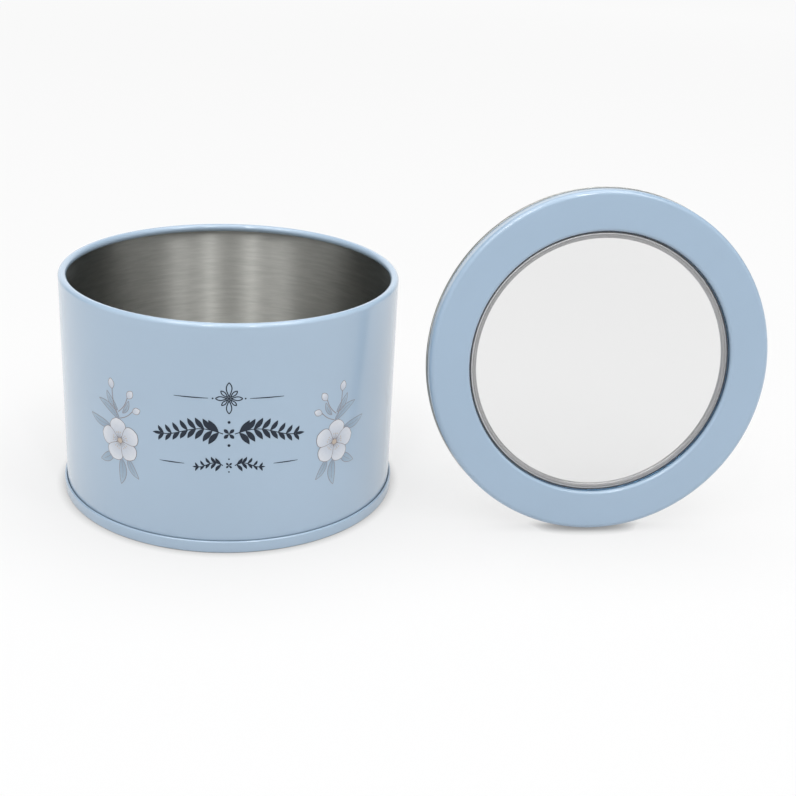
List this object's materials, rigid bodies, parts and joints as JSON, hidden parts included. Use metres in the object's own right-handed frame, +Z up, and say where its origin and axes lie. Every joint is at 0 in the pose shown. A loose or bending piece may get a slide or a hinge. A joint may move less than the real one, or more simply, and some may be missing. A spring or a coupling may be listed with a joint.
{
  "type": "round tin with window lid",
  "caption": "Round sheet-metal tin with an inward-rolled rim, a double-seamed bottom and a loose slip-over lid that has a clear round window.",
  "frame": {"origin": "centre of the tin's base, on the table", "axes": "+Z up along the tin's axis; the tin's front faces -Y; the lid stands beside the tin towards +X, its face to -Y and leaning back"},
  "size_m": [0.208, 0.1016, 0.1007],
  "materials": {
    "wall_paint": "satin",
    "bottom_paint": "satin",
    "compound": "matte",
    "lid_paint": "satin",
    "clear_pane": "clear gloss",
    "ring_steel": "brushed",
    "glue": "clear"
  },
  "bodies": {
    "tin": {"tin_wall": "wall_paint", "tin_bottom": "bottom_paint", "seam_compound": "compound"},
    "lid": {"lid_shell": "lid_paint", "window_pane": "clear_pane", "window_ring": "ring_steel", "pane_glue": "glue"}
  },
  "joints": [
    {"name": "lid_lift", "type": "slide", "parent": "tin", "child": "lid", "axis": [0, 0, 1], "range_m": [0, 0.075]}
  ]
}
